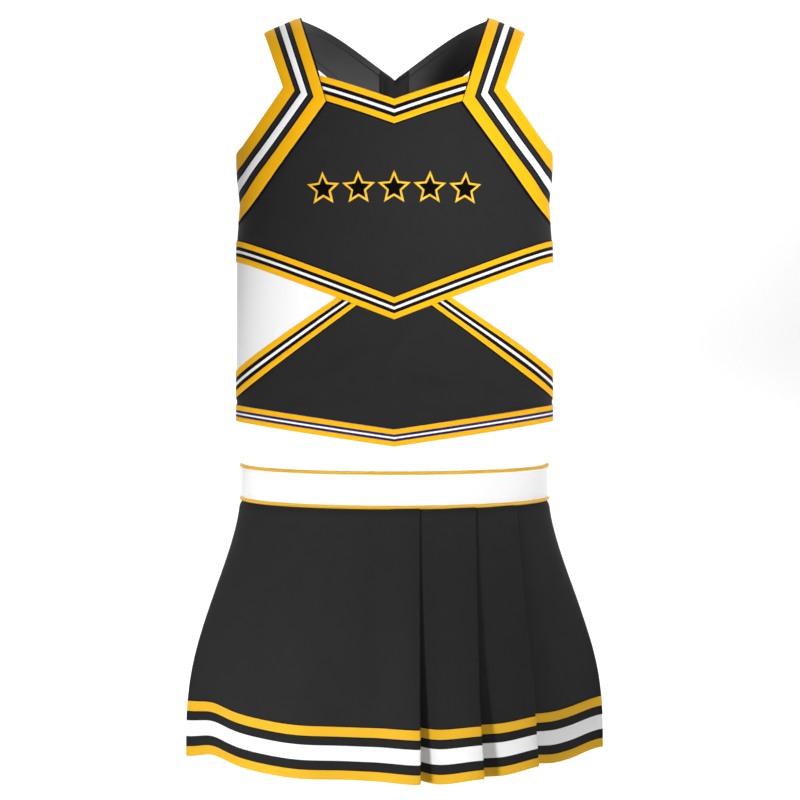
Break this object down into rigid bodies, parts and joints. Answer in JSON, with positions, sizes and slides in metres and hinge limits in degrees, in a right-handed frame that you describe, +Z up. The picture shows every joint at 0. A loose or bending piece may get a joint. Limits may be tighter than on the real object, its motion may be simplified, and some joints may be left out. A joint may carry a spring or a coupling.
{
  "type": "cheer uniform",
  "caption": "Sleeveless shell top with striped braid chevrons and a flared kick-pleat skirt with a white waistband and striped hem",
  "frame": {"origin": "on the shoulder line, midway between the two straps, where a hanger or a wearer's shoulders hold the top", "axes": "+Z up, the front of the uniform faces -Y, +X is the wearer's left"},
  "size_m": [0.4182, 0.2671, 0.733],
  "materials": {
    "black_knit": "matte stretch knit with a faint sheen",
    "white_knit": "matte stretch knit",
    "striped_braid": "ribbed braid with gold edges, dark bands and a white middle",
    "hem_stripes": "printed stripes, gold, black, white, black and gold",
    "black_binding": "folded knit binding",
    "gold_piping": "cord-filled satin piping",
    "gold_twill": "twill with a stitched edge",
    "black_twill": "twill with a stitched edge",
    "zip_tape": "woven tape",
    "zip_coil": "satin nylon coil",
    "zip_metal": "black satin enamel",
    "snap_metal": "polished nickel"
  },
  "bodies": {
    "top": {"front_bib": "black_knit", "front_midriff": "black_knit", "front_strap_left": "black_knit", "front_strap_right": "black_knit", "back_panel_left": "black_knit", "back_panel_right": "black_knit", "side_insert_left": "white_knit", "side_insert_right": "white_knit", "neckline_braid": "striped_braid", "strap_braid_left": "striped_braid", "strap_braid_right": "striped_braid", "chest_chevron_braid": "striped_braid", "diagonal_braid_left": "striped_braid", "diagonal_braid_right": "striped_braid", "hem_braid_front": "striped_braid", "hem_braid_back_left": "striped_braid", "hem_braid_back_right": "striped_braid", "back_neck_binding_left": "black_binding", "back_neck_binding_right": "black_binding", "armhole_binding_left": "black_binding", "armhole_binding_right": "black_binding", "star_backings": "gold_twill", "star_faces": "black_twill", "top_zip_tapes": "zip_tape", "top_zip_teeth": "zip_coil", "top_zip_stops": "zip_metal"},
    "skirt": {"skirt_front": "black_knit", "kick_pleat_inner": "black_knit", "kick_pleat_middle": "black_knit", "kick_pleat_outer": "black_knit", "skirt_back_left": "black_knit", "skirt_back_right": "black_knit", "waistband_front": "white_knit", "waistband_back_left": "white_knit", "waistband_back_right": "white_knit", "hem_band_front": "hem_stripes", "hem_band_pleat_inner": "hem_stripes", "hem_band_pleat_middle": "hem_stripes", "hem_band_pleat_outer": "hem_stripes", "hem_band_back_left": "hem_stripes", "hem_band_back_right": "hem_stripes", "waist_piping_top": "gold_piping", "waist_piping_bottom": "gold_piping", "skirt_zip_tapes": "zip_tape", "skirt_zip_teeth": "zip_coil", "skirt_zip_stops": "zip_metal", "snap_stud": "snap_metal"},
    "top_slider": {"top_zip_slider": "zip_metal"},
    "top_pull": {"top_zip_pull": "zip_metal"},
    "skirt_slider": {"skirt_zip_slider": "zip_metal"},
    "skirt_pull": {"skirt_zip_pull": "zip_metal"},
    "closure_tab": {"waist_tab": "white_knit", "snap_cap": "snap_metal"}
  },
  "joints": [
    {"name": "skirt_slip", "type": "slide", "parent": "top", "child": "skirt", "axis": [0, 0, 1], "range_m": [-0.3, 0.05]},
    {"name": "top_zip", "type": "slide", "parent": "top", "child": "top_slider", "axis": [0, 0.0599, -0.9982], "range_m": [0, 0.328]},
    {"name": "top_pull_flip", "type": "hinge", "parent": "top_slider", "child": "top_pull", "pos_m": [0, 0.07787, -0.05779], "axis": [1, 0, 0], "range_deg": [0, 160]},
    {"name": "skirt_zip", "type": "slide", "parent": "skirt", "child": "skirt_slider", "axis": [0, 0.1961, -0.9806], "range_m": [0, 0.132]},
    {"name": "skirt_pull_flip", "type": "hinge", "parent": "skirt_slider", "child": "skirt_pull", "pos_m": [0, 0.09011, -0.5002], "axis": [1, 0, 0], "range_deg": [0, 160]},
    {"name": "tab_fold", "type": "hinge", "parent": "skirt", "child": "closure_tab", "pos_m": [-0.013, 0.0825, -0.4745], "axis": [0, 0, 1], "range_deg": [0, 160]}
  ]
}
